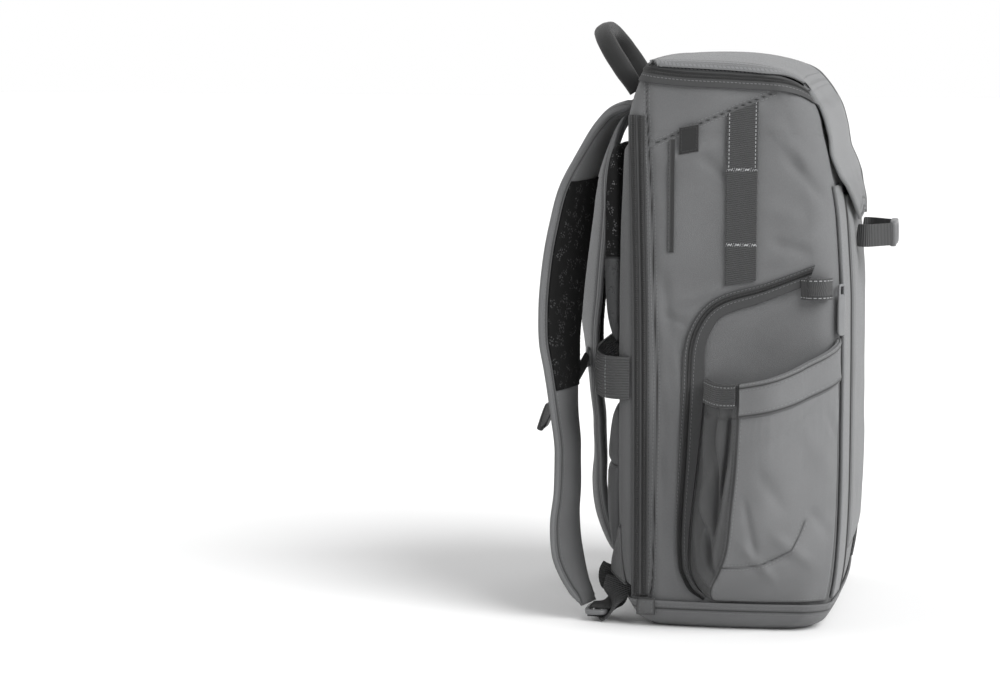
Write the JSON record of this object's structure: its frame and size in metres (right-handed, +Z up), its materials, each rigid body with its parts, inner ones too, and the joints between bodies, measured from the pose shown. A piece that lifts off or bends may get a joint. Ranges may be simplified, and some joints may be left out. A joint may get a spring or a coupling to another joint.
{
  "type": "camera backpack",
  "caption": "Upright padded camera backpack with a long front flap, side pockets, zipped side and rear doors, shoulder straps, back cushions, a luggage band and a carry handle.",
  "frame": {"origin": "centre of the bag's base on the surface it stands on", "axes": "+Z up, -Y out of the front with the flap, +Y towards the wearer's back and the straps, -X the wearer's left"},
  "size_m": [0.3912, 0.3109, 0.5076],
  "materials": {
    "fabric": "matte woven polyester, mid grey",
    "dark_fabric": "matte coated fabric and zip tape, dark grey",
    "mesh_cloth": "black air mesh and padded tube",
    "webbing": "ribbed webbing, dark grey",
    "plastic": "moulded plastic, satin"
  },
  "bodies": {
    "root": {"back_panel": "fabric", "base_panel": "dark_fabric", "body_shell": "fabric", "door_puller_left": "plastic", "door_puller_right": "plastic", "door_zip_left": "dark_fabric", "door_zip_right": "dark_fabric", "front_buckle": "plastic", "front_gusset_left": "fabric", "front_gusset_right": "fabric", "front_panel": "fabric", "front_strap_left": "webbing", "front_strap_right": "webbing", "front_zip_left": "dark_fabric", "front_zip_right": "dark_fabric", "haul_handle": "mesh_cloth", "label_tag": "mesh_cloth", "ladder_lock_left": "plastic", "ladder_lock_right": "plastic", "lid_puller": "plastic", "lid_zip": "dark_fabric", "lower_wing_left": "dark_fabric", "lower_wing_right": "dark_fabric", "luggage_band": "webbing", "lumbar_cushion": "fabric", "pocket_hem_left": "fabric", "pocket_hem_right": "fabric", "pocket_tab_left": "webbing", "pocket_tab_right": "webbing", "rear_puller_large": "plastic", "rear_puller_small": "plastic", "rear_zip_left": "dark_fabric", "rear_zip_right": "dark_fabric", "rear_zip_tab_left": "dark_fabric", "rear_zip_tab_right": "dark_fabric", "shoulder_strap_left": "fabric", "shoulder_strap_right": "fabric", "side_buckle_right": "plastic", "side_pocket_left": "fabric", "side_pocket_right": "fabric", "side_strap_right": "webbing", "side_webbing_left": "webbing", "side_webbing_right": "webbing", "slot_welt_left": "fabric", "sternum_buckle": "plastic", "sternum_slider_left": "plastic", "sternum_slider_right": "plastic", "sternum_strap_left": "webbing", "sternum_strap_right": "webbing", "strap_lining_left": "mesh_cloth", "strap_lining_right": "mesh_cloth", "strap_webbing_left": "webbing", "strap_webbing_right": "webbing", "top_lid": "fabric", "upper_cushion_left": "mesh_cloth", "upper_cushion_right": "mesh_cloth", "web_loop_left": "webbing", "web_loop_right": "webbing", "webbing_tail_left": "webbing", "webbing_tail_right": "webbing"}
  },
  "joints": []
}
